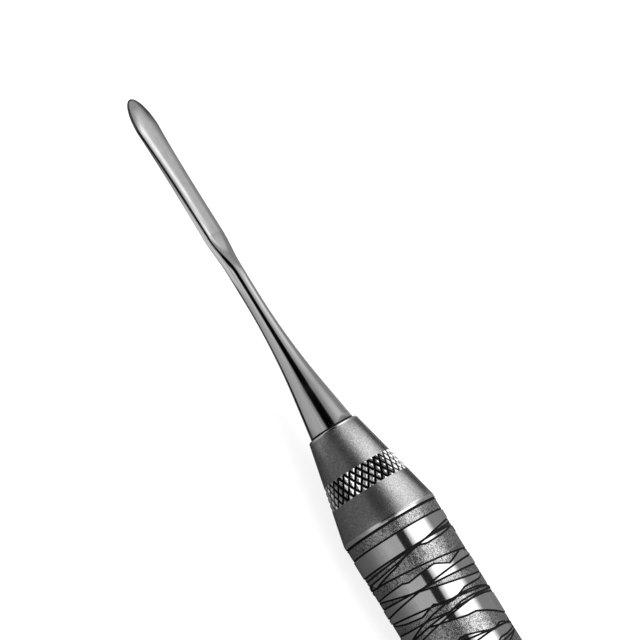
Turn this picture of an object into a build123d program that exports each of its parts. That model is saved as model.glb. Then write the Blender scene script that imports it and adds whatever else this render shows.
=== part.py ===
from build123d import *
from math import acos, atan2, cos, pi, radians, sin, sqrt, tan
import os

os.makedirs("parts", exist_ok=True)

# The elevator lies on its handle along X, with the blade's apex at the +X end and
# the blade's upper face looking up. The floor is z = 0, and the origin is below the middle.
# Distances along the working end are counted back from the apex of the blade.

# Handle tube
grip_diameter = 10.0
tube_wall = 0.8
tube_length = 90.0
seam_chamfer = 0.10

# Sunk bands round the grip, each wider on one side than on the other, leaning and crossing
band_count = 11
band_pitch = 3.9
first_band = 5.1
band_wide_side = 2.1
band_narrow_side = 0.5
band_depth = 0.10
first_lean = 6.0
greatest_lean = 17.0
golden_angle = 137.5

# Front cone, which carries the working end
cone_nose_diameter = 5.3
cone_taper_length = 10.3
cone_lip = 0.5
cone_nose_bevel = 0.25
spigot_length = 6.0

# Knurled ring round the front cone
knurl_start = 4.5
knurl_length = 2.45
knurl_count = 32
knurl_helix = 33.0
knurl_depth = 0.22
knurl_vee = 84.0
knurl_root = 0.12

# Working end: blade, neck and flared shank forged in one, with a tang behind the shoulder
blade_width = 3.0
heel_width = 2.44
nose_length = 3.5
nose_thickness = 0.44
heel_thickness = 0.96
apex_land = 0.02
margin_share = 0.765
heel_distance = 15.4
neck_distance = 19.8
neck_diameter = 1.66
neck_run = 6.97
shank_base_diameter = 4.63
flare_length = 9.9
flare_radius = 72.0
shoulder_rim = 0.15
tang_diameter = 3.0
tang_length = 8.0

# End cap
cap_taper_length = 10.3
cap_end_diameter = 5.3
cap_end_bevel = 0.9

# Clearances of the pressed and brazed fits
tang_gap = 0.02
spigot_gap = 0.02

# Places worked out from the sizes
grip_radius = grip_diameter / 2
bore_radius = grip_radius - tube_wall
cone_length = cone_taper_length + cone_lip
cap_length = cap_taper_length + cone_lip
neck_end = neck_distance + neck_diameter / 2
reach = neck_end + neck_run + flare_length
overall_length = reach - apex_land + cone_length + tube_length + cap_length
apex_x = overall_length / 2 + apex_land
cone_front_x = apex_x - reach
front_seam_x = cone_front_x - cone_length
rear_seam_x = front_seam_x - tube_length
rear_end_x = rear_seam_x - cap_length

axis_height = grip_radius
instrument_axis = Axis((0, 0, axis_height), (1, 0, 0))
profile_plane = Plane(origin=(0, 0, axis_height), x_dir=(1, 0, 0), z_dir=(0, -1, 0))


def cross_plane(x):
    """Plane across the instrument's axis, looking towards the tip, with its x along the blade's width."""
    return Plane(origin=(x, 0, axis_height), x_dir=(0, 1, 0), z_dir=(1, 0, 0))


def eased(share):
    """Smooth step from 0 to 1."""
    return share * share * (3 - 2 * share)


def runout(distance):
    """Share of the way from the blade's heel to the round neck, from 0 to 1."""
    return eased(min(1, max(0, distance - heel_distance) / (neck_distance - heel_distance)))


def nose_share(distance):
    """Share of the full section that the rounded nose has reached."""
    return sqrt(1 - (1 - min(1, distance / nose_length)) ** 2)


def blade_half_width(distance):
    """Half width of the blade: rounded nose, waist, then a run-out into the round neck."""
    left = min(1, max(0, heel_distance - distance) / (heel_distance - nose_length))
    waist = heel_width + (blade_width - heel_width) * left**3
    return (waist + (neck_diameter - waist) * runout(distance)) / 2 * nose_share(distance)


def blade_half_thickness(distance):
    """Half thickness of the blade: thin at the nose and growing evenly to the heel."""
    left = min(1, max(0, heel_distance - distance) / (heel_distance - nose_length))
    web = heel_thickness + (nose_thickness - heel_thickness) * left
    return (web + (neck_diameter - web) * runout(distance)) / 2 * nose_share(distance)


def margin_start(distance):
    """Share of half width and half thickness at which the face turns into the rounded margin."""
    return margin_share + (sqrt(0.5) - margin_share) * runout(distance)


def blade_section(distance):
    """Two low arcs for the faces and two tight ones for the margins: at the neck, a circle."""
    width = blade_half_width(distance)
    depth = blade_half_thickness(distance)
    side = width * margin_start(distance)
    rise = depth * margin_start(distance)
    arcs = [
        ThreePointArc((side, -rise), (width, 0), (side, rise)),
        ThreePointArc((side, rise), (0, depth), (-side, rise)),
        ThreePointArc((-side, rise), (-width, 0), (-side, -rise)),
        ThreePointArc((-side, -rise), (0, -depth), (side, -rise)),
    ]
    return cross_plane(apex_x - distance) * Face(Wire(arcs))


def stations(first, last, steps):
    """Evenly spaced distances after the first one, up to and with the last."""
    return [first + (last - first) * step / steps for step in range(1, steps + 1)]


# Working tip
nose_steps = 5
first_turn = acos(1 - apex_land / nose_length)
nose_turns = [first_turn, *stations(first_turn, pi / 2, nose_steps)]
nose_stations = [nose_length * (1 - cos(turn)) for turn in nose_turns]
blade_stations = stations(nose_length, heel_distance, 3)
runout_stations = stations(heel_distance, neck_distance, 4)
all_stations = [*nose_stations, *blade_stations, *runout_stations, neck_end]
blade_sections = [blade_section(distance) for distance in all_stations]

# The flare's arc can be no longer than the straight neck in front of it and the slope behind it
shank_radius = shank_base_diameter / 2
flare_turn = atan2(shank_radius - neck_diameter / 2, flare_length - shoulder_rim)
flare_room = min(neck_run, flare_length - shoulder_rim) * 0.98
flare_arc_radius = min(flare_radius, flare_room / tan(flare_turn / 2))
flare_corner_x = cone_front_x + flare_length

with BuildPart() as working_tip:
    loft(blade_sections, ruled=True)
    with BuildSketch(profile_plane):
        with BuildLine():
            FilletPolyline(
                (apex_x - neck_end, neck_diameter / 2),
                (flare_corner_x, neck_diameter / 2),
                (cone_front_x + shoulder_rim, shank_radius),
                radius=flare_arc_radius,
            )
            Polyline(
                (cone_front_x + shoulder_rim, shank_radius),
                (cone_front_x, shank_radius - shoulder_rim),
                (cone_front_x, tang_diameter / 2),
                (cone_front_x - tang_length, tang_diameter / 2),
                (cone_front_x - tang_length, 0),
                (apex_x - neck_end, 0),
                (apex_x - neck_end, neck_diameter / 2),
            )
        make_face()
    revolve(axis=instrument_axis)
    chamfer(working_tip.edges().group_by(Axis.X)[0], length=tang_gap * 10)

# Knurled ring, cut by straight vee grooves of both hands
nose_radius = cone_nose_diameter / 2
taper_slope = (grip_radius - nose_radius) / cone_taper_length
taper_angle = atan2(grip_radius - nose_radius, cone_taper_length)
knurl_end = knurl_start + knurl_length
knurl_middle = knurl_start + knurl_length / 2


def cone_radius(distance):
    """Radius of the front cone at a distance behind its front face."""
    return nose_radius + taper_slope * distance


outward = Vector(cos(taper_angle), 0, sin(taper_angle))
groove_reach = knurl_length / cos(radians(knurl_helix))
vee_half = tan(radians(knurl_vee / 2))

with BuildPart() as knurl_cutter:
    for hand in (-1, 1):
        helix = radians(knurl_helix) * hand
        along = Vector(-sin(taper_angle) * cos(helix), sin(helix), cos(taper_angle) * cos(helix))
        vee_plane = Plane(origin=(cone_radius(knurl_middle), 0, 0), x_dir=outward, z_dir=along)
        with BuildSketch(vee_plane):
            Polygon(
                (-knurl_depth, 0),
                (knurl_depth, 2 * knurl_depth * vee_half),
                (knurl_depth, -2 * knurl_depth * vee_half),
                align=None,
            )
        extrude(amount=groove_reach, both=True)

ring_plane = Plane(
    origin=(cone_front_x - knurl_middle, 0, axis_height), x_dir=(0, 0, 1), z_dir=(1, 0, 0)
)
ring_inner_radius = cone_radius(knurl_start) - knurl_depth - knurl_root
crest_columns = 2 * knurl_count

# The blank has one flat under each column of crests, so each crest ends in a small flat diamond
with BuildPart() as knurl_ring:
    for distance in (knurl_start, knurl_end):
        with BuildSketch(cross_plane(cone_front_x - distance)):
            RegularPolygon(
                cone_radius(distance),
                crest_columns,
                major_radius=False,
                rotation=90 + 180 / crest_columns,
            )
    loft(ruled=True)
    with Locations(ring_plane):
        with PolarLocations(0, knurl_count):
            add(knurl_cutter.part, mode=Mode.SUBTRACT)
        Cylinder(ring_inner_radius, 2 * knurl_length, mode=Mode.SUBTRACT)

# Front cone
with BuildPart() as front_cone:
    with BuildSketch(profile_plane):
        with BuildLine():
            Polyline(
                (cone_front_x, 0),
                (cone_front_x, nose_radius - cone_nose_bevel),
                (cone_front_x - cone_nose_bevel, cone_radius(cone_nose_bevel)),
                (cone_front_x - cone_taper_length, grip_radius),
                (front_seam_x + seam_chamfer, grip_radius),
                (front_seam_x, grip_radius - seam_chamfer),
                (front_seam_x, bore_radius - spigot_gap),
                (front_seam_x - spigot_length, bore_radius - spigot_gap),
                (front_seam_x - spigot_length, 0),
                (cone_front_x, 0),
            )
        make_face()
    revolve(axis=instrument_axis)
    with BuildSketch(cross_plane(cone_front_x - knurl_end)):
        Circle(grip_radius)
        Circle(ring_inner_radius, mode=Mode.SUBTRACT)
    extrude(amount=knurl_length, mode=Mode.SUBTRACT)
    add(knurl_ring.part)
    with BuildSketch(cross_plane(front_seam_x - spigot_length)):
        Circle(tang_diameter / 2 + tang_gap)
    extrude(amount=cone_length + spigot_length, mode=Mode.SUBTRACT)

# Handle tube
cutter_reach = grip_radius + band_depth
mean_half_width = (band_wide_side + band_narrow_side) / 4
widening = (band_wide_side - band_narrow_side) / 4 * cutter_reach / grip_radius
tube_middle = ((front_seam_x + rear_seam_x) / 2, 0, axis_height)

with BuildPart() as banded_bar:
    with Locations(tube_middle):
        Cylinder(grip_radius, tube_length, rotation=(0, 90, 0))
    chamfer(banded_bar.edges().filter_by(GeomType.CIRCLE), length=seam_chamfer)
    for number in range(band_count):
        lean = first_lean + (greatest_lean - first_lean) * sin(pi * number / (band_count - 1))
        shift = cutter_reach * tan(radians(lean))
        middle = (front_seam_x - first_band - band_pitch * number, 0, axis_height)
        facing = Vector(0, -1, 0).rotate(Axis.X, golden_angle * number)
        with BuildSketch(Plane(origin=middle, x_dir=(1, 0, 0), z_dir=facing)):
            Polygon(
                (shift - mean_half_width - widening, cutter_reach),
                (shift + mean_half_width + widening, cutter_reach),
                (-shift + mean_half_width - widening, -cutter_reach),
                (-shift - mean_half_width + widening, -cutter_reach),
                align=None,
            )
    extrude(amount=cutter_reach, both=True, mode=Mode.SUBTRACT)
    with Locations(tube_middle):
        Cylinder(grip_radius - band_depth, tube_length, rotation=(0, 90, 0))

# Loose slivers where two bands cross at the surface fall away
with BuildPart() as handle_tube:
    add(banded_bar.solids().sort_by(SortBy.VOLUME)[-1])
    with Locations(tube_middle):
        Cylinder(bore_radius, tube_length, rotation=(0, 90, 0), mode=Mode.SUBTRACT)

# End cap
cap_slope = (grip_radius - cap_end_diameter / 2) / cap_taper_length

with BuildPart() as end_cap:
    with BuildSketch(profile_plane):
        with BuildLine():
            Polyline(
                (rear_end_x, 0),
                (rear_end_x, cap_end_diameter / 2 - cap_end_bevel),
                (rear_end_x + cap_end_bevel, cap_end_diameter / 2 + cap_slope * cap_end_bevel),
                (rear_seam_x - cone_lip, grip_radius),
                (rear_seam_x - seam_chamfer, grip_radius),
                (rear_seam_x, grip_radius - seam_chamfer),
                (rear_seam_x, bore_radius - spigot_gap),
                (rear_seam_x + spigot_length, bore_radius - spigot_gap),
                (rear_seam_x + spigot_length, 0),
                (rear_end_x, 0),
            )
        make_face()
    revolve(axis=instrument_axis)

working_tip.part.label = "working_tip"
front_cone.part.label = "front_cone"
handle_tube.part.label = "handle_tube"
end_cap.part.label = "end_cap"

export_step(working_tip.part, "parts/working_tip.step")
export_step(front_cone.part, "parts/front_cone.step")
export_step(handle_tube.part, "parts/handle_tube.step")
export_step(end_cap.part, "parts/end_cap.step")
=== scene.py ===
import math
import random

import bmesh
import bpy
from mathutils import Matrix, Vector


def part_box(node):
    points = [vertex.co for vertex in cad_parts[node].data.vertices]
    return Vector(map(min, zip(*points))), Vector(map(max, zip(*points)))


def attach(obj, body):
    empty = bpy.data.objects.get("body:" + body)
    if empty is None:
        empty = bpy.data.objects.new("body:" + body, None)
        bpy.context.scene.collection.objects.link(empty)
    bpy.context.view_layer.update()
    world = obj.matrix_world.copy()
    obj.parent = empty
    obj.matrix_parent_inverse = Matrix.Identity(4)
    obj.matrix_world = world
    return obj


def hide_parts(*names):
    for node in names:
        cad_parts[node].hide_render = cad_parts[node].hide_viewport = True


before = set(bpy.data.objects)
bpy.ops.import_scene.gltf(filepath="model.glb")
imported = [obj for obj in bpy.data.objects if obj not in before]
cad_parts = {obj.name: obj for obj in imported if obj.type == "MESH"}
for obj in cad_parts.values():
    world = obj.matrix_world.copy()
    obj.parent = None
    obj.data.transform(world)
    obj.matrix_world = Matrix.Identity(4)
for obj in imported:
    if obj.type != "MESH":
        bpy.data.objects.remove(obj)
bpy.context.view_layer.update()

# The camera looks down on the instrument where it lies, from the side of its blade. The blade
# points up and to the left in the picture, and leans a few degrees away from the lens.
apex_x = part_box("working_tip")[1].x
cone_front_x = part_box("front_cone")[1].x
axis_height = (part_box("handle_tube")[0].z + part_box("handle_tube")[1].z) / 2
picture_size = 640
picture_width = 0.0616
cone_front_pixel = (332.4, 429.3)
picture_lean = math.radians(31.6)
camera_distance = 0.9
lens_direction = (-0.087, 0.704, 0.704)
sensor_width_mm = 36
nearest_seen = 0.01
farthest_seen = 20

to_camera = Vector(lens_direction).normalized()
along = Vector((1, 0, 0)) - to_camera * to_camera.x
along.normalize()
across = to_camera.cross(along)
picture_right = -math.sin(picture_lean) * along - math.cos(picture_lean) * across
picture_up = math.cos(picture_lean) * along - math.sin(picture_lean) * across
pixel = picture_width / picture_size
half_picture = picture_size / 2
picture_centre = (
    Vector((cone_front_x, 0, axis_height))
    + picture_right * (half_picture - cone_front_pixel[0]) * pixel
    + picture_up * (cone_front_pixel[1] - half_picture) * pixel
)
camera_data = bpy.data.cameras.new("camera")
camera_data.sensor_width = sensor_width_mm
camera_data.lens = camera_data.sensor_width * camera_distance / picture_width
camera_data.clip_start = nearest_seen
camera_data.clip_end = farthest_seen
camera = bpy.data.objects.new("camera", camera_data)
camera.matrix_world = Matrix.Translation(picture_centre + to_camera * camera_distance) @ Matrix(
    (picture_right, picture_up, to_camera)
).transposed().to_4x4()
bpy.context.collection.objects.link(camera)
bpy.context.scene.camera = camera
bpy.context.scene.view_settings.view_transform = "Standard"

# The floor is a wide sheet of pale matt card. It carries the instrument's soft shadow, and where
# no shadow falls it is white to the camera.
def new_object(name, mesh, materials):
    """An object at the origin for a finished mesh, with its materials in order."""
    for material in materials:
        mesh.materials.append(material)
    made = bpy.data.objects.new(name, mesh)
    bpy.context.collection.objects.link(made)
    return made


def new_material(name):
    """A material with its node tree and its Principled BSDF."""
    material = bpy.data.materials.new(name)
    material.use_nodes = True
    tree = material.node_tree
    return material, tree, tree.nodes["Principled BSDF"]


def feed(socket, value):
    """Give a socket of the tree being built a number, or link it to another socket."""
    if isinstance(value, (int, float)):
        socket.default_value = value
    else:
        tree.links.new(value, socket)


def math_node(operation, *values):
    """A Math node in the tree being built. Each value is a number or a socket."""
    node = tree.nodes.new("ShaderNodeMath")
    node.operation = operation
    for socket, value in zip(node.inputs, values):
        feed(socket, value)
    return node.outputs[0]


floor_radius = 4.0
floor_segments = 96
floor_colour = 0.34
floor_roughness = 0.9
floor_shine = 0.1
floor_glow_camera = 0.85
floor_glow_metal = 0.04

floor_mesh = bpy.data.meshes.new("floor")
floor_form = bmesh.new()
bmesh.ops.create_circle(floor_form, cap_ends=True, radius=floor_radius, segments=floor_segments)
floor_form.to_mesh(floor_mesh)
floor_form.free()
floor_material, tree, shader = new_material("pale_card")
shader.inputs["Base Color"].default_value = (floor_colour, floor_colour, floor_colour, 1)
shader.inputs["Roughness"].default_value = floor_roughness
shader.inputs["Specular IOR Level"].default_value = floor_shine
rays = tree.nodes.new("ShaderNodeLightPath").outputs
seen = math_node("ADD", rays["Is Camera Ray"], rays["Is Transmission Ray"])
seen_glow = math_node("MULTIPLY", seen, floor_glow_camera)
glow = math_node("MULTIPLY_ADD", rays["Is Glossy Ray"], floor_glow_metal, seen_glow)
shader.inputs["Emission Color"].default_value = (1, 1, 1, 1)
tree.links.new(glow, shader.inputs["Emission Strength"])
floor = new_object("floor", floor_mesh, [floor_material])

# The room is a soft light tent that runs along the instrument. Above and behind hangs a large
# bright sheet, and in front a smaller and dimmer one. Each sheet is an oblong with soft edges.
room_level = 0.10
# For each sheet its brightness, its first and last angle round the handle and their softness, and
# how far it reaches to the rear and to the front, with the softness there
tent_sheets = (
    (2.00, 69, 121, 12, -0.90, 0.90, 0.15),
    (0.22, 125, 180, 10, -0.90, 0.90, 0.15),
    (0.46, -6, 60, 12, -0.28, 0.42, 0.10),
)
world = bpy.data.worlds.new("tent")
world.use_nodes = True
bpy.context.scene.world = world
tree = world.node_tree


def soft_step(value, edge, softness):
    """0 below an edge and 1 above it, with a soft change. A negative softness turns it round."""
    node = tree.nodes.new("ShaderNodeMapRange")
    node.interpolation_type = "SMOOTHSTEP"
    low, high = edge - abs(softness), edge + abs(softness)
    node.inputs["From Min"].default_value = low
    node.inputs["From Max"].default_value = high
    node.inputs["To Min"].default_value = 0 if softness > 0 else 1
    node.inputs["To Max"].default_value = 1 if softness > 0 else 0
    tree.links.new(value, node.inputs["Value"])
    return node.outputs["Result"]


direction = tree.nodes.new("ShaderNodeTexCoord")
parts = tree.nodes.new("ShaderNodeSeparateXYZ")
tree.links.new(direction.outputs["Generated"], parts.inputs[0])
round_angle = math_node("ARCTAN2", parts.outputs["Z"], parts.outputs["Y"])
light = room_level
for level, first, last, blur, rear, front, spread in tent_sheets:
    sheet = soft_step(round_angle, math.radians(first), math.radians(blur))
    for value, edge, softness in (
        (round_angle, math.radians(last), -math.radians(blur)),
        (parts.outputs["X"], rear, spread),
        (parts.outputs["X"], front, -spread),
    ):
        sheet = math_node("MULTIPLY", sheet, soft_step(value, edge, softness))
    light = math_node("MULTIPLY_ADD", sheet, level, light)
tent = tree.nodes["Background"]
tent.inputs["Color"].default_value = (1, 1, 1, 1)
tree.links.new(light, tent.inputs["Strength"])
backdrop = tree.nodes.new("ShaderNodeBackground")
backdrop.inputs["Color"].default_value = (1, 1, 1, 1)
rays = tree.nodes.new("ShaderNodeLightPath").outputs
seen = math_node("ADD", rays["Is Camera Ray"], rays["Is Transmission Ray"])
choice = tree.nodes.new("ShaderNodeMixShader")
tree.links.new(seen, choice.inputs[0])
tree.links.new(tent.outputs[0], choice.inputs[1])
tree.links.new(backdrop.outputs[0], choice.inputs[2])
tree.links.new(choice.outputs[0], tree.nodes["World Output"].inputs["Surface"])

# Round the working end and the cone stand glowing cards that only reflections see: painted
# reflections, a black stripe below the lens, which steel shows as one crisp dark line, and pale
# sides. A black card does the same for the handle, and dark cards on the floor put painted shade
# in place of the floor's glare on the lower side.
def finished_card(name, form, grid):
    """The card whose points are given row by row."""
    for line, next_line in zip(grid, grid[1:]):
        for step in range(len(line) - 1):
            form.faces.new((line[step], line[step + 1], next_line[step + 1], next_line[step]))
    mesh = bpy.data.meshes.new(name)
    form.to_mesh(mesh)
    form.free()
    return new_object(name, mesh, [painted_reflection_material])


def lit_card(name, radius, rows):
    """A glowing card bent round the instrument: a painted reflection. Each row is x and stops of
    angle and brightness, with the angle in degrees from the lens, round the instrument's axis."""
    form = bmesh.new()
    glow = form.verts.layers.float.new("glow")
    grid = []
    for x, stops in rows:
        line = []
        first, last = stops[0][0], stops[-1][0]
        for column in range(card_columns + 1):
            degrees = first + (last - first) * column / card_columns
            angle = math.radians(degrees + camera_angle)
            vert = form.verts.new(
                (x, radius * math.cos(angle), axis_height + radius * math.sin(angle))
            )
            for (low, before), (high, after) in zip(stops, stops[1:]):
                if low <= degrees <= high:
                    vert[glow] = before + (after - before) * (degrees - low) / (high - low)
            line.append(vert)
        grid.append(line)
    return finished_card(name, form, grid)


def floor_card(name, places, columns):
    """A flat glowing card just above the floor, facing up: a painted reflection. Each column is x
    and a brightness for each place in y."""
    form = bmesh.new()
    glow = form.verts.layers.float.new("glow")
    grid = []
    for x, levels in columns:
        line = [form.verts.new((x, y, card_lift)) for y in places]
        for vert, level in zip(line, levels):
            vert[glow] = level
        grid.append(line)
    return finished_card(name, form, grid[::-1])


camera_angle = 45
card_columns = 160
card_radius = 0.12
near_card_radius = 0.012
card_lift = 0.0001
painted_reflection_material, tree, shader = new_material("card")
shader.inputs["Base Color"].default_value = (0, 0, 0, 1)
shader.inputs["Specular IOR Level"].default_value = 0
shader.inputs["Emission Color"].default_value = (1, 1, 1, 1)
glow = tree.nodes.new("ShaderNodeAttribute")
glow.attribute_name = "glow"
tree.links.new(glow.outputs["Fac"], shader.inputs["Emission Strength"])
beside_neck = (
    (-55, 0.50), (-44, 0.68), (-34, 0.86), (-25, 0.80), (-19, 0.50), (-13, 0.00), (21, 0.00),
    (29, 0.45), (50, 0.70), (66, 1.05), (78, 1.25), (88, 1.00), (98, 0.50), (118, 0.30),
    (131, 0.30),
)
beside_flare = (
    (-55, 0.58), (-44, 0.68), (-30, 0.62), (-22, 0.45), (-16, 0.00), (24, 0.00), (30, 0.36),
    (46, 0.51), (62, 0.70), (80, 0.62), (95, 0.36), (103, 0.28), (116, 0.28), (131, 0.30),
)
beside_base = (
    (-55, 0.58), (-44, 0.55), (-32, 0.42), (-24, 0.30), (-18, 0.00), (22, 0.00), (28, 0.22),
    (40, 0.30), (50, 0.40), (60, 0.46), (84, 0.42), (92, 0.36), (96, 0.12), (102, 0.12),
    (108, 0.38), (122, 0.38), (127, 0.15), (131, 0.15),
)
ahead_of_cone = (
    (-55, 0.12), (-40, 0.10), (-29, 0.08), (-23, 0.02), (18, 0.01), (27, 0.45), (42, 1.50),
    (70, 1.80), (95, 1.50), (105, 0.90), (112, 0.40), (118, 0.26), (121, 0.06), (128, 0.06),
    (131, 0.3),
)
round_cone = (
    (-68, 0.19), (-32, 0.21), (-18, 0.20), (-8, 0.05), (16, 0.01), (27, 0.45), (38, 1.35),
    (50, 1.65), (62, 1.75), (76, 1.50), (90, 1.05), (98, 0.60), (106, 0.15), (116, 0.06),
    (131, 0.08),
)
behind_neck = (
    (-66, 0.40), (-45, 0.60), (-30, 1.00), (-20, 0.60), (-15, 0.00), (20, 0.00), (28, 0.50),
    (45, 0.66), (60, 0.76), (75, 0.60), (90, 0.42), (110, 0.40), (130, 0.28), (152, 0.22),
)
round_runout = (
    (-66, 0.40), (-45, 0.80), (-33, 1.60), (-25, 1.10), (-20, 0.00), (20, 0.00), (27, 0.40),
    (40, 0.42), (62, 0.40), (75, 0.36), (90, 0.30), (110, 0.35), (130, 0.25), (152, 0.20),
)
behind_heel = (
    (-66, 0.60), (-45, 0.70), (-34, 0.60), (-26, 0.00), (32, 0.00), (37, 0.40), (44, 0.95),
    (54, 1.20), (60, 0.95), (66, 0.52), (75, 0.40), (90, 0.35), (110, 0.35), (130, 0.25),
    (152, 0.20),
)
over_heel = (
    (-66, 0.70), (-45, 0.60), (-34, 0.50), (-29, 0.00), (36, 0.00), (41, 0.30), (49, 0.90),
    (57, 1.60), (64, 1.90), (69, 1.70), (74, 0.95), (79, 0.78), (95, 0.74), (98, 0.50),
    (107, 0.42), (121, 0.35), (135, 0.25), (152, 0.20),
)
over_blade = (
    (-66, 0.70), (-45, 0.60), (-34, 0.50), (-29, 0.00), (42, 0.00), (47, 0.20), (58, 0.52),
    (68, 0.85), (75, 1.40), (80, 1.90), (82.5, 1.70), (85, 0.95), (87, 0.76), (95, 0.74),
    (98, 0.50), (107, 0.42), (121, 0.35), (135, 0.25), (152, 0.20),
)
over_shoulder = (
    (-66, 0.30), (-40, 0.10), (-28, 0.00), (-24, 0.00), (42, 0.00), (47, 0.20), (58, 0.52),
    (68, 0.85), (75, 1.40), (80, 1.90), (82.5, 1.70), (85, 0.98), (87, 0.82), (93, 0.72),
    (96, 0.46), (104, 0.34), (108, 0.10), (135, 0.06), (152, 0.06),
)
over_nose = (
    (-66, 0.20), (-20, 0.06), (26, 0.06), (44, 0.20), (56, 0.38), (74, 0.46), (80, 0.60),
    (85, 1.00), (89, 0.95), (91, 0.62), (95, 0.42), (97, 0.12), (107, 0.08), (152, 0.06),
)
round_apex = (
    (-66, 0.10), (-20, 0.05), (40, 0.06), (56, 0.25), (70, 0.45), (93, 0.48), (97, 0.14),
    (120, 0.06), (152, 0.06),
)
past_apex = ((-66, 0.06), (152, 0.06))
below_lens = ((-2, 0.02), (17, 0.02))
cards = [
    lit_card(
        "tip_tent",
        card_radius,
        [
            (0.0450, beside_neck),
            (0.0640, beside_neck),
            (0.0790, beside_flare),
            (0.0860, beside_base),
            (0.0880, beside_base),
            (0.0900, ahead_of_cone),
            (0.3000, ahead_of_cone),
        ],
    ),
    lit_card(
        "cone_card",
        near_card_radius,
        [(0.0285, round_cone), (0.0388, round_cone), (0.0406, round_cone[:7])],
    ),
    lit_card(
        "blade_tent",
        near_card_radius,
        [
            (0.0548, beside_neck),
            (0.0566, behind_neck),
            (0.0580, round_runout),
            (0.0597, round_runout),
            (0.0601, behind_heel),
            (0.0606, over_heel),
            (0.0655, over_blade),
            (0.0700, over_blade),
            (0.0727, over_shoulder),
            (0.0746, over_nose),
            (0.0762, round_apex),
            (0.0785, round_apex),
            (0.0800, past_apex),
            (0.1100, past_apex),
        ],
    ),
    lit_card("handle_card", card_radius, [(-0.100, below_lens), (0.040, below_lens)]),
    floor_card(
        "near_floor",
        (0.0010, 0.0028, 0.0029, 0.0045, 0.0100, 0.0200, 0.0600),
        [
            (x, levels)
            for first, last, levels in (
                (-0.1000, 0.0285, (0.02, 0.05, 0.05, 0.12, 0.17, 0.32, 0.45)),
                (0.0300, 0.0368, (0.08, 0.08, 0.08, 0.14, 0.20, 0.24, 0.45)),
                (0.0400, 0.0535, (0.00, 0.00, 0.36, 0.46, 0.54, 0.56, 0.50)),
                (0.0550, 0.0625, (0.40, 0.60, 0.60, 0.75, 0.90, 0.80, 0.50)),
                (0.0690, 0.3000, (0.10, 0.12, 0.12, 0.12, 0.15, 0.20, 0.40)),
            )
            for x in (first, last)
        ],
    ),
    floor_card("far_floor", (0.0601, 3.9), [(-1.5, (0.45, 0.46)), (1.5, (0.45, 0.46))]),
    floor_card("floor_behind", (-0.6, -0.006), [(-0.100, (0.25, 0.25)), (0.037, (0.25, 0.25))]),
]
# The cards glow only in reflections: the camera, diffuse light and shadows pass them by.
for card in cards:
    card.visible_camera = False
    card.visible_diffuse = False
    card.visible_shadow = False

# The working end is one forging of hardened stainless steel: a two-faced blade with a round nose,
# a slim neck and a flared shank, with a tang behind the shoulder. The blade's faces are ground
# along their length, and its margins, neck and shank are polished.
nose_length = 0.0035
blade_width = 0.0030
heel_width = 0.00244
nose_thickness = 0.00044
heel_thickness = 0.00096
heel_distance = 0.0154
neck_distance = 0.0198
neck_radius = 0.00083
apex_land = 0.00002
blade_fullness = 3.3
bevel_width = 0.00019
bevel_share = 0.3
bevel_tilt = math.radians(34)
bevel_drop_share = 0.75
bevel_points = (0.12, 0.5, 0.88)
edge_radius = 0.00005
edge_share = 0.5
edge_steps = 3
edge_points = (0.78, 0.5, 0.2)
neck_end = neck_distance + neck_radius
flare_length = 0.0099
flare_radius = 0.072
shank_radius = 0.002315
shoulder_rim = 0.00015
rim_run_share = 0.4
rim_fall_share = 0.15
tang_radius = 0.0015
tang_length = 0.008
tang_bevel = 0.0002
ground_fade_share = 0.6
blade_crease = math.radians(18)
hairline = 1e-7
polished_grey = 0.62
polished_roughness = 0.07
ground_dimming = 0.86
ground_added_roughness = 0.04
ground_mark_depth = 0.0000012
line_and_seam_shade_grey = 0.012
line_roughness = 0.65
line_shine = 0.15


def eased(share):
    """Smooth step from 0 to 1."""
    share = min(1, max(0, share))
    return share * share * (3 - 2 * share)


def blade_size(distance):
    """Half width, half thickness and roundness of the section at a distance behind the apex."""
    nose = math.sqrt(1 - (1 - min(1, distance / nose_length)) ** 2)
    left = min(1, max(0, heel_distance - distance) / (heel_distance - nose_length))
    runout = eased((distance - heel_distance) / (neck_distance - heel_distance))
    width = (heel_width + (blade_width - heel_width) * left**3) / 2
    depth = (heel_thickness + (nose_thickness - heel_thickness) * left) / 2
    width = (width + (neck_radius - width) * runout) * nose
    depth = (depth + (neck_radius - depth) * runout) * nose
    return width, depth, runout


def margin_bevel(width):
    """How wide the bevel is at the margin of a section, from the section's half width."""
    return min(bevel_width, bevel_share * width)


def blade_outline(distance):
    """Round the section: low crowned faces, a narrow bevel round their margin and a small upright
    edge. Towards the neck all of it rounds off into a circle."""
    width, depth, roundness = blade_size(distance)
    power = 2 / (blade_fullness + (2 - blade_fullness) * roundness)
    bevel = margin_bevel(width)
    inner = width - bevel
    last_turn = math.asin((inner / width) ** (1 / power))
    quarter = []
    for step in range(crown_points + 1):
        turn = last_turn * step / crown_points
        quarter.append((width * math.sin(turn) ** power, depth * math.cos(turn) ** power))
    crown_height = quarter[-1][1]
    drop = min(bevel * math.tan(bevel_tilt), bevel_drop_share * crown_height)
    radius = min(edge_radius, edge_share * (crown_height - drop))
    bevel_end = crown_height - drop * (bevel - radius) / bevel
    for share in bevel_points:
        quarter.append(
            (inner + (bevel - radius) * share, crown_height + (bevel_end - crown_height) * share)
        )
    for step in range(edge_steps + 1):
        turn = math.pi / 2 * step / edge_steps
        quarter.append(
            (width - radius + radius * math.sin(turn), bevel_end - radius + radius * math.cos(turn))
        )
    quarter += [(width, (bevel_end - radius) * share) for share in edge_points]
    rounded = []
    for y, z in quarter:
        turn = math.atan2(y / width, z / depth)
        rounded.append(
            (
                y + (width * math.sin(turn) - y) * roundness,
                z + (depth * math.cos(turn) - z) * roundness,
            )
        )
    half = rounded[::-1] + [(-y, z) for y, z in rounded[1:]]
    return half + [(-y, -z) for y, z in half]


def round_outline(radius):
    """A circle with its points at the same angles as a blade section that has become round."""
    return [
        (radius * y / math.hypot(y, z), radius * z / math.hypot(y, z))
        for y, z in blade_outline(neck_end)
    ]


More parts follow.
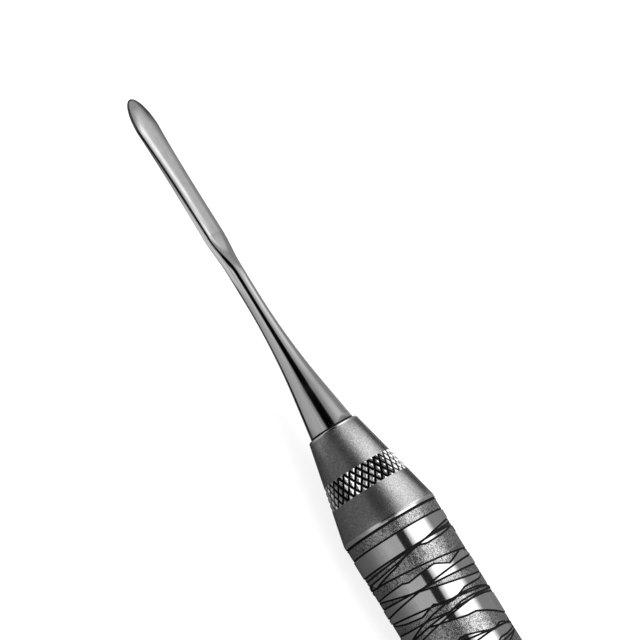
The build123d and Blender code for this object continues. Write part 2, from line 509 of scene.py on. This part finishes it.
def finished_mesh(name, form, crease):
    """The mesh of a shape, smooth but for edges that turn by more than the crease."""
    for face in form.faces:
        face.smooth = True
    mesh = bpy.data.meshes.new(name)
    form.to_mesh(mesh)
    form.free()
    mesh.set_sharp_from_angle(angle=crease)
    return mesh


def skin(form, rings):
    """Faces between rings of as many points each, each ring given by its x and its outline."""
    grid = [
        [form.verts.new((x, y, axis_height + z)) for y, z in outline] for x, outline in rings
    ]
    for ring, next_ring in zip(grid, grid[1:]):
        count = len(ring)
        for step in range(count):
            following = (step + 1) % count
            form.faces.new(
                (ring[step], ring[following], next_ring[following], next_ring[step])
            )
    return grid


def solid(form, rings):
    """A skin closed by a flat face at each end."""
    grid = skin(form, rings)
    form.faces.new(grid[0])
    form.faces.new(grid[-1])
    bmesh.ops.recalc_face_normals(form, faces=form.faces)
    return grid


crown_points = 18
nose_rings = 30
blade_rings = 40
runout_rings = 40
flare_rings = 60
slope_rings = 24

# Sections of the blade from the apex back to the neck, closest together round the nose
first_turn = math.acos(1 - apex_land / nose_length)
distances = [
    nose_length * (1 - math.cos(first_turn + (math.pi / 2 - first_turn) * step / nose_rings))
    for step in range(nose_rings)
]
distances += [
    nose_length + (heel_distance - nose_length) * step / blade_rings for step in range(blade_rings)
]
distances += [
    heel_distance + (neck_end - heel_distance) * step / runout_rings
    for step in range(runout_rings + 1)
]
tip_x = apex_x + apex_land
tip_rings = [(tip_x - distance, blade_outline(distance)) for distance in distances]
# The shank, which swells along an arc and then runs straight to its shoulder
slope_angle = math.atan2(shank_radius - neck_radius, flare_length - shoulder_rim)
corner_x = cone_front_x + flare_length
arc_start_x = corner_x + flare_radius * math.tan(slope_angle / 2)
for step in range(flare_rings + 1):
    turn = slope_angle * step / flare_rings
    tip_rings.append(
        (
            arc_start_x - flare_radius * math.sin(turn),
            round_outline(neck_radius + flare_radius * (1 - math.cos(turn))),
        )
    )
arc_end_x = tip_rings[-1][0]
arc_end_radius = neck_radius + flare_radius * (1 - math.cos(slope_angle))
for step in range(1, slope_rings + 1):
    share = step / slope_rings
    tip_rings.append(
        (
            arc_end_x + (cone_front_x + shoulder_rim - arc_end_x) * share,
            round_outline(arc_end_radius + (shank_radius - arc_end_radius) * share),
        )
    )
# The shoulder's rounded rim and the tang
tip_rings += [
    (
        cone_front_x + shoulder_rim * rim_run_share,
        round_outline(shank_radius - shoulder_rim * rim_fall_share),
    ),
    (cone_front_x, round_outline(shank_radius - shoulder_rim)),
    (cone_front_x, round_outline(tang_radius)),
    (cone_front_x - tang_length + tang_bevel, round_outline(tang_radius)),
    (cone_front_x - tang_length, round_outline(tang_radius - tang_bevel)),
]

form = bmesh.new()
ground_layer = form.verts.layers.float.new("ground")
grid = solid(form, tip_rings)
# The blade's faces are ground, but not the margins, and the grinding fades out along the run-out
for ring, distance in zip(grid, distances):
    fade_length = ground_fade_share * (neck_distance - heel_distance)
    fade = 1 - eased((distance - heel_distance) / fade_length)
    width = blade_size(distance)[0]
    for vert in ring:
        vert[ground_layer] = fade * eased((width - abs(vert.co.y)) / margin_bevel(width))
# The shoulder's rim is painted near-black: painted shade for the dark of the seam
for face in form.faces:
    if -hairline < face.calc_center_median().x - cone_front_x < shoulder_rim:
        face.material_index = 1
tip_mesh = finished_mesh("working_end", form, blade_crease)


def new_metal(name, roughness):
    """A metal material with its node tree and its Principled BSDF."""
    material, tree, shader = new_material(name)
    shader.inputs["Metallic"].default_value = 1.0
    shader.inputs["Roughness"].default_value = roughness
    return material, tree, shader


def new_group(name, inputs, outputs):
    """A shader node group with its inputs, given as name and value, and its outputs."""
    group = bpy.data.node_groups.new(name, "ShaderNodeTree")
    group.interface.new_socket("Place", in_out="INPUT", socket_type="NodeSocketVector")
    for title, value in inputs:
        socket = group.interface.new_socket(title, in_out="INPUT", socket_type="NodeSocketFloat")
        socket.default_value = value
    for title in outputs:
        group.interface.new_socket(title, in_out="OUTPUT", socket_type="NodeSocketFloat")
    given = group.nodes.new("NodeGroupInput").outputs
    result = group.nodes.new("NodeGroupOutput").inputs
    return group, given, result


def noise(place, scale, detail=2.0, roughness=0.5):
    """Noise in the tree being built, from 0 to 1."""
    node = tree.nodes.new("ShaderNodeTexNoise")
    node.inputs["Detail"].default_value = detail
    node.inputs["Roughness"].default_value = roughness
    tree.links.new(place, node.inputs["Vector"])
    feed(node.inputs["Scale"], scale)
    return node.outputs["Fac"]


def combined(*values):
    """A vector in the tree being built. Each part is a number or a socket."""
    node = tree.nodes.new("ShaderNodeCombineXYZ")
    for socket, value in zip(node.inputs, values):
        feed(socket, value)
    return node.outputs[0]


def group_node(group, **values):
    """What a node group gives in the tree being built. Each value is a number or a socket."""
    node = tree.nodes.new("ShaderNodeGroup")
    node.node_tree = group
    place = tree.nodes.new("ShaderNodeTexCoord")
    tree.links.new(place.outputs["Object"], node.inputs["Place"])
    for title, value in values.items():
        feed(node.inputs[title], value)
    return node.outputs


# Ground steel has fine marks along its length, with a soft unevenness from the wheel.
clouds_per_metre = 900
ground_marks, given, result = new_group(
    "ground_marks",
    (("Spacing", 0.00008), ("Stretch", 14.0), ("Marks", 0.1), ("Cloud", 0.1)),
    ("Shade", "Height"),
)
tree = ground_marks
stretched = tree.nodes.new("ShaderNodeVectorMath")
stretched.operation = "MULTIPLY"
squeeze = combined(math_node("DIVIDE", 1, given["Stretch"]), 1, 1)
tree.links.new(given["Place"], stretched.inputs[0])
tree.links.new(squeeze, stretched.inputs[1])
streak = noise(stretched.outputs[0], math_node("DIVIDE", 1, given["Spacing"]), 3)
cloud = noise(given["Place"], clouds_per_metre, 3)
shade = math_node(
    "MULTIPLY_ADD",
    math_node("SUBTRACT", streak, 0.5),
    math_node("MULTIPLY", given["Marks"], 2),
    1,
)
shade = math_node(
    "MULTIPLY_ADD",
    math_node("SUBTRACT", cloud, 0.5),
    math_node("MULTIPLY", given["Cloud"], 2),
    shade,
)
tree.links.new(shade, result["Shade"])
tree.links.new(streak, result["Height"])


def shaded(colour, shade):
    """A grey whose brightness follows a socket."""
    node = tree.nodes.new("ShaderNodeCombineColor")
    grey = math_node("MULTIPLY", shade, colour)
    for channel in node.inputs:
        tree.links.new(grey, channel)
    return node.outputs[0]


def bump(height, depth):
    """A normal from a height between 0 and 1 and the depth that it stands for, in metres."""
    node = tree.nodes.new("ShaderNodeBump")
    node.inputs["Strength"].default_value = 1.0
    node.inputs["Distance"].default_value = depth
    tree.links.new(height, node.inputs["Height"])
    return node.outputs[0]


tip_steel, tree, shader = new_metal("tip_steel", polished_roughness)
marks = group_node(ground_marks, Spacing=0.00012, Stretch=20, Marks=0.10, Cloud=0.16)
ground = tree.nodes.new("ShaderNodeAttribute")
ground.attribute_name = "ground"
ground_share = ground.outputs["Fac"]
ground_shade = math_node("MULTIPLY", marks["Shade"], ground_dimming)
shade = math_node(
    "ADD",
    math_node("MULTIPLY", ground_shade, ground_share),
    math_node("SUBTRACT", 1, ground_share),
)
tree.links.new(shaded(polished_grey, shade), shader.inputs["Base Color"])
tree.links.new(
    math_node("MULTIPLY_ADD", ground_share, ground_added_roughness, polished_roughness),
    shader.inputs["Roughness"],
)
tree.links.new(
    bump(math_node("MULTIPLY", marks["Height"], ground_share), ground_mark_depth),
    shader.inputs["Normal"],
)

# Near-black, for the grip's cut lines, and as painted shade in the seams between the parts.
line_and_seam_shade, tree, shader = new_material("line_and_seam_shade")
shader.inputs["Base Color"].default_value = (line_and_seam_shade_grey, line_and_seam_shade_grey, line_and_seam_shade_grey, 1)
shader.inputs["Roughness"].default_value = line_roughness
shader.inputs["Specular IOR Level"].default_value = line_shine

working_end = new_object("working_end", tip_mesh, [tip_steel, line_and_seam_shade])
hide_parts("working_tip")
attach(working_end, "root")

# The front cone is turned from stainless bar and blasted to a satin grey. It is bored for the
# tang, and its spigot is pressed into the tube. A recess round its middle takes the knurled ring.
taper_length = 0.0103
cone_lip = 0.0005
nose_radius = 0.00265
nose_bevel = 0.00025
bevel_steps = 6
bright_bevel_share = 0.9
dark_bevel_share = 0.1
seam_chamfer = 0.0001
spigot_length = 0.006
spigot_radius = 0.00418
tang_bore = 0.00152
grip_radius = 0.005
turned_segments = 192
turned_crease = math.radians(30)
weld_distance = 1e-8
satin_grey = 0.38
satin_roughness = 0.26
satin_grain_depth = 0.000012
bright_grey = 0.66
bright_roughness = 0.14
cone_length = taper_length + cone_lip
front_seam_x = cone_front_x - taper_length - cone_lip
taper_slope = (grip_radius - nose_radius) / taper_length
knurl_start = 0.0045
knurl_length = 0.00245
knurl_end = knurl_start + knurl_length
knurl_depth = 0.00022
knurl_root = 0.00005


def cone_radius(distance):
    """Radius of the front cone at a distance behind its front face."""
    return nose_radius + taper_slope * distance


def circle(radius):
    """Points of a circle across the instrument's axis."""
    turns = [2 * math.pi * step / turned_segments for step in range(turned_segments)]
    return [(radius * math.cos(turn), radius * math.sin(turn)) for turn in turns]


def from_axis(co):
    """How far a point lies from the instrument's axis."""
    return math.hypot(co.y, co.z - axis_height)


def turned(profile):
    """A bored piece of turned metal from its closed profile, given as x and radius."""
    form = bmesh.new()
    rings = [(x, circle(radius)) for x, radius in profile]
    skin(form, rings + rings[:1])
    bmesh.ops.remove_doubles(form, verts=form.verts, dist=weld_distance)
    bmesh.ops.recalc_face_normals(form, faces=form.faces)
    return form


recess_start = cone_radius(knurl_start) - knurl_depth - knurl_root
recess_end = cone_radius(knurl_end) - knurl_depth - knurl_root
bevel = [
    (
        cone_front_x - nose_bevel * (1 - math.cos(turn)),
        cone_radius(nose_bevel) - nose_bevel * (1 - math.sin(turn)),
    )
    for turn in [math.pi / 2 * step / bevel_steps for step in range(bevel_steps + 1)]
]
cone_profile = (
    [(cone_front_x, tang_bore)]
    + bevel
    + [
        (cone_front_x - knurl_start, cone_radius(knurl_start)),
        (cone_front_x - knurl_start, recess_start),
        (cone_front_x - knurl_end, recess_end),
        (cone_front_x - knurl_end, cone_radius(knurl_end)),
        (cone_front_x - taper_length, grip_radius),
        (front_seam_x + seam_chamfer, grip_radius),
        (front_seam_x, grip_radius - seam_chamfer),
        (front_seam_x, spigot_radius),
        (front_seam_x - spigot_length, spigot_radius),
        (front_seam_x - spigot_length, tang_bore),
    ]
)
form = turned(cone_profile)
# The lip and the front edge are bright, and the seams at both ends are painted shade, near-black
for face in form.faces:
    centre = face.calc_center_median()
    distance = cone_front_x - centre.x
    on_lip = taper_length < distance < cone_length
    at_rear_seam = distance > cone_length - seam_chamfer and from_axis(centre) > spigot_radius
    if on_lip or distance < nose_bevel * bright_bevel_share:
        face.material_index = 1
    if at_rear_seam or distance < nose_bevel * dark_bevel_share:
        face.material_index = 2
cone_mesh = finished_mesh("cone", form, turned_crease)

# Blasted or stippled steel has grains that catch the light one by one.
steel_grain, given, result = new_group(
    "steel_grain", (("Size", 0.0001), ("Contrast", 0.2)), ("Shade", "Height")
)
tree = steel_grain
grain = noise(given["Place"], math_node("DIVIDE", 1, given["Size"]), 2, 0.6)
coarse = noise(given["Place"], math_node("DIVIDE", 0.35, given["Size"]), 1)
height = math_node("ADD", math_node("MULTIPLY", grain, 0.75), math_node("MULTIPLY", coarse, 0.25))
shade = math_node(
    "MULTIPLY_ADD",
    math_node("SUBTRACT", height, 0.5),
    math_node("MULTIPLY", given["Contrast"], 4),
    1,
)
tree.links.new(math_node("MAXIMUM", shade, 0.05), result["Shade"])
tree.links.new(height, result["Height"])

satin_steel, tree, shader = new_metal("satin_steel", satin_roughness)
grains = group_node(steel_grain, Size=0.00012, Contrast=0.48)
tree.links.new(shaded(satin_grey, grains["Shade"]), shader.inputs["Base Color"])
tree.links.new(bump(grains["Height"], satin_grain_depth), shader.inputs["Normal"])

bright_steel, tree, shader = new_metal("bright_steel", bright_roughness)
marks = group_node(ground_marks, Spacing=0.00015, Stretch=1.0, Marks=0.06, Cloud=0.08)
tree.links.new(shaded(bright_grey, marks["Shade"]), shader.inputs["Base Color"])

cone_body = new_object("cone_body", cone_mesh, [satin_steel, bright_steel, line_and_seam_shade])
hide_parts("front_cone")
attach(cone_body, "root")

# A bright ring is knurled into the cone. Two wheels press grooves of both hands into the steel,
# which leave staggered rows of small flat-topped diamonds all the way round the taper.
knurl_count = 32
knurl_rows = 7
knurl_helix = math.radians(33)
crest_share = 0.24
diamond_weld = 2e-6
ring_sink = 0.00005
knurl_grey = 0.84
knurl_roughness = 0.22
groove_shade = 0.02
groove_height, crest_height = 0.36, 0.62

knurled_steel, tree, shader = new_metal("knurled_steel", knurl_roughness)
marks = group_node(ground_marks, Spacing=0.00012, Stretch=1.0, Marks=0.08, Cloud=0.0)
# The knurl's steel is painted darker towards the bottom of its grooves, down to near black: painted
# shade in the grooves.
crest = tree.nodes.new("ShaderNodeAttribute")
crest.attribute_name = "crest"
painted_groove_shade_ramp = tree.nodes.new("ShaderNodeMapRange")
painted_groove_shade_ramp.interpolation_type = "SMOOTHSTEP"
painted_groove_shade_ramp.inputs["From Min"].default_value = groove_height
painted_groove_shade_ramp.inputs["From Max"].default_value = crest_height
painted_groove_shade_ramp.inputs["To Min"].default_value = groove_shade
painted_groove_shade_ramp.inputs["To Max"].default_value = 1.0
tree.links.new(crest.outputs["Fac"], painted_groove_shade_ramp.inputs["Value"])
tree.links.new(
    shaded(knurl_grey, math_node("MULTIPLY", painted_groove_shade_ramp.outputs["Result"], marks["Shade"])),
    shader.inputs["Base Color"],
)


def set_radius(vert, radius):
    """Move a point straight in or out, until it lies at a radius from the instrument's axis."""
    y, z = vert.co.y, vert.co.z - axis_height
    scale = radius / math.hypot(y, z)
    vert.co.y, vert.co.z = y * scale, axis_height + z * scale


pitch = 2 * math.pi / knurl_count
middle_radius = cone_radius(knurl_start + knurl_length / 2)
row_height = pitch * middle_radius / (2 * math.tan(knurl_helix))
tree = bpy.data.node_groups.new("knurled_ring", "GeometryNodeTree")
for name, kind, value in (
    ("Columns", "NodeSocketInt", knurl_count),
    ("Rows", "NodeSocketInt", knurl_rows),
    ("Row height", "NodeSocketFloat", row_height),
    ("Depth", "NodeSocketFloat", knurl_depth),
    ("Crest share", "NodeSocketFloat", crest_share),
    ("Middle radius", "NodeSocketFloat", middle_radius),
    ("Slope", "NodeSocketFloat", taper_slope),
    ("Middle x", "NodeSocketFloat", cone_front_x - knurl_start - knurl_length / 2),
    ("Axis height", "NodeSocketFloat", axis_height),
    ("Material", "NodeSocketMaterial", None),
):
    socket = tree.interface.new_socket(name, in_out="INPUT", socket_type=kind)
    if value is not None:
        socket.default_value = value
tree.interface.new_socket("Geometry", in_out="OUTPUT", socket_type="NodeSocketGeometry")
given = tree.nodes.new("NodeGroupInput").outputs
result = tree.nodes.new("NodeGroupOutput").inputs

# One point for each diamond, set out on a flat sheet in columns and staggered rows
total = math_node("MULTIPLY", given["Columns"], given["Rows"])
line = tree.nodes.new("GeometryNodePoints")
tree.links.new(total, line.inputs["Count"])
index = tree.nodes.new("GeometryNodeInputIndex").outputs[0]
row = math_node("FLOOR", math_node("DIVIDE", index, given["Columns"]))
column = math_node("SUBTRACT", index, math_node("MULTIPLY", row, given["Columns"]))
half_rows = math_node("DIVIDE", math_node("SUBTRACT", given["Rows"], 1), 2)
row_from_middle = math_node("SUBTRACT", row, half_rows)
stagger = math_node("MULTIPLY", math_node("MODULO", row, 2), 0.5)
along_sheet = math_node("MULTIPLY", row_from_middle, given["Row height"])
tree.links.new(combined(along_sheet, math_node("ADD", column, stagger)), line.inputs["Position"])
# A diamond: the stump of a four-sided pyramid, with its flat top
pyramid = tree.nodes.new("GeometryNodeMeshCone")
pyramid.fill_type = "NONE"
pyramid.inputs["Vertices"].default_value = 4
pyramid.inputs["Radius Bottom"].default_value = 1.0
tree.links.new(given["Crest share"], pyramid.inputs["Radius Top"])
tree.links.new(given["Depth"], pyramid.inputs["Depth"])
top = tree.nodes.new("GeometryNodeMeshCircle")
top.fill_type = "NGON"
top.inputs["Vertices"].default_value = 4
tree.links.new(given["Crest share"], top.inputs["Radius"])
lift = tree.nodes.new("GeometryNodeTransform")
tree.links.new(combined(0, 0, given["Depth"]), lift.inputs["Translation"])
tree.links.new(top.outputs["Mesh"], lift.inputs["Geometry"])
join = tree.nodes.new("GeometryNodeJoinGeometry")
tree.links.new(pyramid.outputs["Mesh"], join.inputs[0])
tree.links.new(lift.outputs[0], join.inputs[0])
instances = tree.nodes.new("GeometryNodeInstanceOnPoints")
tree.links.new(line.outputs[0], instances.inputs["Points"])
tree.links.new(join.outputs[0], instances.inputs["Instance"])
tree.links.new(combined(given["Row height"], 0.5, 1), instances.inputs["Scale"])
realize = tree.nodes.new("GeometryNodeRealizeInstances")
tree.links.new(instances.outputs[0], realize.inputs[0])
# The sheet is wrapped round the taper, and remembers how high each point stood
position = tree.nodes.new("GeometryNodeInputPosition")
flat = tree.nodes.new("ShaderNodeSeparateXYZ")
tree.links.new(position.outputs[0], flat.inputs[0])
column_angle = math_node("DIVIDE", 2 * math.pi, given["Columns"])
turn = math_node("MULTIPLY", flat.outputs["Y"], column_angle)
fall = math_node("MULTIPLY", flat.outputs["X"], given["Slope"])
base = math_node("SUBTRACT", given["Middle radius"], fall)
reach = math_node("ADD", math_node("SUBTRACT", base, given["Depth"]), flat.outputs["Z"])
height = math_node("MULTIPLY", reach, math_node("SINE", turn))
wrapped = combined(
    math_node("ADD", flat.outputs["X"], given["Middle x"]),
    math_node("MULTIPLY", reach, math_node("COSINE", turn)),
    math_node("ADD", height, given["Axis height"]),
)
crest = tree.nodes.new("GeometryNodeStoreNamedAttribute")
crest.data_type = "FLOAT"
crest.domain = "POINT"
crest.inputs["Name"].default_value = "crest"
tree.links.new(realize.outputs[0], crest.inputs["Geometry"])
height_share = math_node("DIVIDE", flat.outputs["Z"], given["Depth"])
tree.links.new(height_share, crest.inputs["Value"])
wrap = tree.nodes.new("GeometryNodeSetPosition")
tree.links.new(crest.outputs[0], wrap.inputs["Geometry"])
tree.links.new(wrapped, wrap.inputs["Position"])
merge = tree.nodes.new("GeometryNodeMergeByDistance")
merge.inputs["Distance"].default_value = diamond_weld
tree.links.new(wrap.outputs[0], merge.inputs["Geometry"])
paint = tree.nodes.new("GeometryNodeSetMaterial")
tree.links.new(merge.outputs[0], paint.inputs["Geometry"])
tree.links.new(given["Material"], paint.inputs["Material"])
tree.links.new(paint.outputs[0], result[0])

knurl_maker = new_object("knurl_maker", bpy.data.meshes.new("knurl_maker"), [knurled_steel])
modifier = knurl_maker.modifiers.new("knurl", "NODES")
modifier.node_group = tree
for item in tree.interface.items_tree:
    if item.item_type == "SOCKET" and item.in_out == "INPUT" and item.name == "Material":
        modifier[item.identifier] = knurled_steel
knurl_mesh = bpy.data.meshes.new_from_object(
    knurl_maker.evaluated_get(bpy.context.evaluated_depsgraph_get())
)
bpy.data.objects.remove(knurl_maker)
# The ring is trimmed square at both ends and closed by a wall inside the cone
form = bmesh.new()
form.from_mesh(knurl_mesh)
for distance, side in ((knurl_start, 1), (knurl_end, -1)):
    bmesh.ops.bisect_plane(
        form,
        geom=form.verts[:] + form.edges[:] + form.faces[:],
        dist=weld_distance,
        plane_co=(cone_front_x - distance, 0, 0),
        plane_no=(side, 0, 0),
        clear_outer=True,
    )
rims = [edge for edge in form.edges if edge.is_boundary]
ends = bmesh.ops.extrude_edge_only(form, edges=rims)
bmesh.ops.bridge_loops(form, edges=[edge for edge in form.edges if edge.is_boundary])
for vert in ends["geom"]:
    if isinstance(vert, bmesh.types.BMVert):
        distance = cone_front_x - vert.co.x
        radius = recess_start if distance < (knurl_start + knurl_end) / 2 else recess_end
        set_radius(vert, radius - ring_sink)
bmesh.ops.recalc_face_normals(form, faces=form.faces)
form.to_mesh(knurl_mesh)
form.free()
knurl_mesh.materials.pop(index=0)
knurled_ring = new_object("knurled_ring", knurl_mesh, [])
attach(knurled_ring, "root")

# The handle is a thin-walled stainless tube. Bands sunk into its grip are stippled, the lands
# between them are polished, and fine dark lines are cut along the bands' edges and across them.
tube_length = 0.090
tube_bore = 0.0042
rear_seam_x = front_seam_x - tube_length
band_count = 11
band_pitch = 0.0039
first_band = 0.0051
front_ring = (0.00007, 0.00125)
band_wide_side = 0.0021
band_narrow_side = 0.0005
first_lean = 6.0
greatest_lean = 17.0
golden_angle = 137.5
wedge_lean = 5.0
tooth_height = (0.0002, 0.0007)
tooth_slope_sectors = (10, 18)
tooth_return_sectors = (3, 9)
tooth_gap_sectors = (2, 14)
mirrored_teeth = 0.5
first_fine_line = 0.0032
fine_turn = 171.0
first_fine_turn = 60
fine_lean_share = 0.8
span_margin = 0.0004
touching = 1e-12
surface_tolerance = 1e-6
rim_margin = 0.0001
grip_crease = math.radians(25)
land_grey = 0.60
land_roughness = 0.10
stipple_grey = 0.34
stipple_grain_depth = 0.000030
line_half = 0.0001
line_depth = 0.00012
stipple_depth = 0.00006
sector = 2 * math.pi / turned_segments
dice = random.Random(5)


def cut_line(place, lean, facing):
    """A plane cut round the tube: x is place + a * y + b * z, the same in every sector."""
    turn = math.radians(facing)
    slope = math.tan(math.radians(lean))
    return [(place, -slope * math.sin(turn), slope * math.cos(turn))] * turned_segments


def toothed(line, side):
    """The same line with long low teeth on it. Each straight stretch is a plane of its own."""
    nodes = [(0, 0)]
    longest_tooth = tooth_gap_sectors[1] + tooth_slope_sectors[1] + tooth_return_sectors[1]
    while nodes[-1][0] < turned_segments - longest_tooth:
        height = side * dice.uniform(*tooth_height)
        start = nodes[-1][0] + dice.randint(*tooth_gap_sectors)
        top = start + dice.randint(*tooth_slope_sectors)
        end = top + dice.randint(*tooth_return_sectors)
        if dice.random() < mirrored_teeth:
            top = start + end - top
        nodes += [(start, 0)] * (start > nodes[-1][0]) + [(top, height), (end, 0)]
    nodes.append((turned_segments, 0))
    cut = []
    for (first, low), (last, high) in zip(nodes, nodes[1:]):
        ends = []
        for number, height in ((first, low), (last, high)):
            place, a, b = line[number % turned_segments]
            turn = sector * number
            ends.append(
                place + grip_radius * (a * math.cos(turn) + b * math.sin(turn)) + height
            )
        middle = sector * (first + last) / 2
        slope = (ends[1] - ends[0]) / (2 * grip_radius * math.sin(sector * (last - first) / 2))
        plane = ((ends[0] + ends[1]) / 2, -slope * math.sin(middle), slope * math.cos(middle))
        cut += [plane] * (last - first)
    return cut


def lean_at(turn):
    """How far a line leans. The lean swells from the first line to the middle one and back, as a
    sine does over half a turn."""
    return first_lean + (greatest_lean - first_lean) * math.sin(turn)


# A plain ring behind the seam, then toothed bands, with a narrow wedge across each land
bands = [tuple(cut_line(front_seam_x - distance, 0, 0) for distance in front_ring)]
for number in range(band_count):
    lean = lean_at(math.pi * number / (band_count - 1))
    middle = front_seam_x - first_band - band_pitch * number
    half = (band_wide_side + band_narrow_side) / 4
    spread = (band_wide_side - band_narrow_side) / 4 / grip_radius
    facing = golden_angle * number
    slope = math.tan(math.radians(lean))
    bands.append(
        (
            toothed(cut_line(middle + half, math.degrees(math.atan(slope + spread)), facing), 1),
            toothed(cut_line(middle - half, math.degrees(math.atan(slope - spread)), facing), -1),
        )
    )
    land = middle + band_pitch / 2
    land_facing = facing + golden_angle / 2
    bands.append(
        tuple(cut_line(land, lean + tilt, land_facing) for tilt in (wedge_lean, -wedge_lean))
    )
# Fine single lines that cross the bands and the lands
for number in range(2 * band_count):
    place = front_seam_x - first_fine_line - band_pitch / 2 * number
    lean = fine_lean_share * lean_at(math.pi * number / (2 * band_count))
    bands.append((cut_line(place, lean, fine_turn * number + first_fine_turn),))
spans = []
for cuts in bands:
    ends = [
        place + grip_radius * (a * math.cos(sector * number) + b * math.sin(sector * number))
        for line in cuts
        for number, (place, a, b) in enumerate(line)
    ]
    spans.append((min(ends) - span_margin, max(ends) + span_margin))


def sector_of(co):
    """The sector of the tube in which a point lies."""
    return int(math.atan2(co.z - axis_height, co.y) % (2 * math.pi) / sector) % turned_segments


def near_gaps(co):
    """For each band near a point of the tube, how far the point lies in front of its lines."""
    number = sector_of(co)
    y, z = co.y, co.z - axis_height
    gaps = []
    for cuts, (low, high) in zip(bands, spans):
        if low < co.x < high:
            planes = [line[number] for line in cuts]
            gaps.append(
                [
                    (co.x - place - a * y - b * z) / math.sqrt(1 + a * a + b * b)
                    for place, a, b in planes
                ]
            )
    return gaps


def in_band(gaps):
    """Whether a point lies between the two lines of a band."""
    return any(len(pair) == 2 and pair[0] * pair[1] < -touching for pair in gaps)


tube_profile = [
    (front_seam_x - seam_chamfer, grip_radius),
    (rear_seam_x + seam_chamfer, grip_radius),
    (rear_seam_x, grip_radius - seam_chamfer),
    (rear_seam_x, tube_bore),
    (front_seam_x, tube_bore),
    (front_seam_x, grip_radius - seam_chamfer),
]
form = turned(tube_profile)
for face in form.faces:
    if all(from_axis(vert.co) > grip_radius - surface_tolerance for vert in face.verts):
        face.material_index = 1
# Each line is cut into the surface along its middle and along both its edges
for line, (low, high) in [(line, span) for cuts, span in zip(bands, spans) for line in cuts]:
    near = [
        face
        for face in form.faces
        if face.material_index == 1
        and any(vert.co.x < high for vert in face.verts)
        and any(vert.co.x > low for vert in face.verts)
    ]
    sectors = {face: sector_of(face.calc_center_median()) for face in near}
    start = 0
    while start < turned_segments:
        end = start
        while end < turned_segments and line[end] == line[start]:
            end += 1
        place, a, b = line[start]
        stretch = [face for face, number in sectors.items() if start <= number < end]
        widening = math.sqrt(1 + a * a + b * b)
        start = end
        for offset in (-line_half, 0, line_half):
            edges = {edge for face in stretch for edge in face.edges}
            verts = {vert for face in stretch for vert in face.verts}
            parts = bmesh.ops.bisect_plane(
                form,
                geom=list(verts) + list(edges) + stretch,
                dist=hairline,
                plane_co=(place + offset * widening, 0, axis_height),
                plane_no=(1, -a, -b),
            )
            stretch = [part for part in parts["geom"] if isinstance(part, bmesh.types.BMFace)]
# The lines and bands get their steel and are sunk to their depth
outer_verts = {vert for face in form.faces if face.material_index == 1 for vert in face.verts}
for face in form.faces:
    centre = face.calc_center_median()
    # The chamfers and end faces at the tube's seams are painted near-black: painted shade in the
    # joints
    if face.material_index == 0 and from_axis(centre) > spigot_radius + rim_margin:
        face.material_index = 2
    if face.material_index != 1:
        continue
    gaps = near_gaps(centre)
    if any(abs(gap) < line_half for pair in gaps for gap in pair):
        face.material_index = 2
    elif in_band(gaps):
        face.material_index = 3
front_limit = front_seam_x - seam_chamfer - surface_tolerance
rear_limit = rear_seam_x + seam_chamfer + surface_tolerance
for vert in outer_verts:
    if not rear_limit <= vert.co.x <= front_limit:
        continue
    gaps = near_gaps(vert.co)
    depth = stipple_depth if in_band(gaps) else 0
    nearest = min([abs(gap) for pair in gaps for gap in pair] + [line_half])
    depth = max(depth, line_depth * (1 - nearest / line_half))
    set_radius(vert, grip_radius - depth)
tube_mesh = finished_mesh("tube", form, grip_crease)

grip_land, tree, shader = new_metal("polished_land", land_roughness)
marks = group_node(ground_marks, Spacing=0.00015, Stretch=1.5, Marks=0.10, Cloud=0.12)
tree.links.new(shaded(land_grey, marks["Shade"]), shader.inputs["Base Color"])

grip_stipple, tree, shader = new_metal("stippled_band", satin_roughness)
grains = group_node(steel_grain, Size=0.0001, Contrast=1.7)
tree.links.new(shaded(stipple_grey, grains["Shade"]), shader.inputs["Base Color"])
tree.links.new(bump(grains["Height"], stipple_grain_depth), shader.inputs["Normal"])

grip_tube = new_object("grip_tube", tube_mesh, [satin_steel, grip_land, line_and_seam_shade, grip_stipple])
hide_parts("handle_tube")
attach(grip_tube, "root")

# The end cap is a tapered plug of the same satin steel, turned from bar with a spigot of its own
# that is pressed into the rear of the tube. Its rear edge is rounded.
rear_end_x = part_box("end_cap")[0].x
cap_end_radius = 0.00265
cap_bevel = 0.0009
cap_bevel_steps = 8
cap_pole_radius = 0.00001
cap_slope = (grip_radius - cap_end_radius) / taper_length
cap_profile = [
    (rear_seam_x + spigot_length, cap_pole_radius),
    (rear_seam_x + spigot_length, spigot_radius),
    (rear_seam_x, spigot_radius),
    (rear_seam_x, grip_radius - seam_chamfer),
    (rear_seam_x - seam_chamfer, grip_radius),
    (rear_seam_x - cone_lip, grip_radius),
]
for step in range(cap_bevel_steps + 1):
    turn = math.pi / 2 * step / cap_bevel_steps
    fall = cap_bevel * (1 - math.cos(turn))
    taper = cap_slope * cap_bevel * math.cos(turn)
    cap_profile.append(
        (rear_end_x + cap_bevel * (1 - math.sin(turn)), cap_end_radius - fall + taper)
    )
cap_profile.append((rear_end_x, cap_pole_radius))
form = bmesh.new()
solid(form, [(x, circle(radius)) for x, radius in cap_profile])
cap_mesh = finished_mesh("cap", form, turned_crease)
rear_cap = new_object("rear_cap", cap_mesh, [satin_steel])
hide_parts("end_cap")
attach(rear_cap, "root")
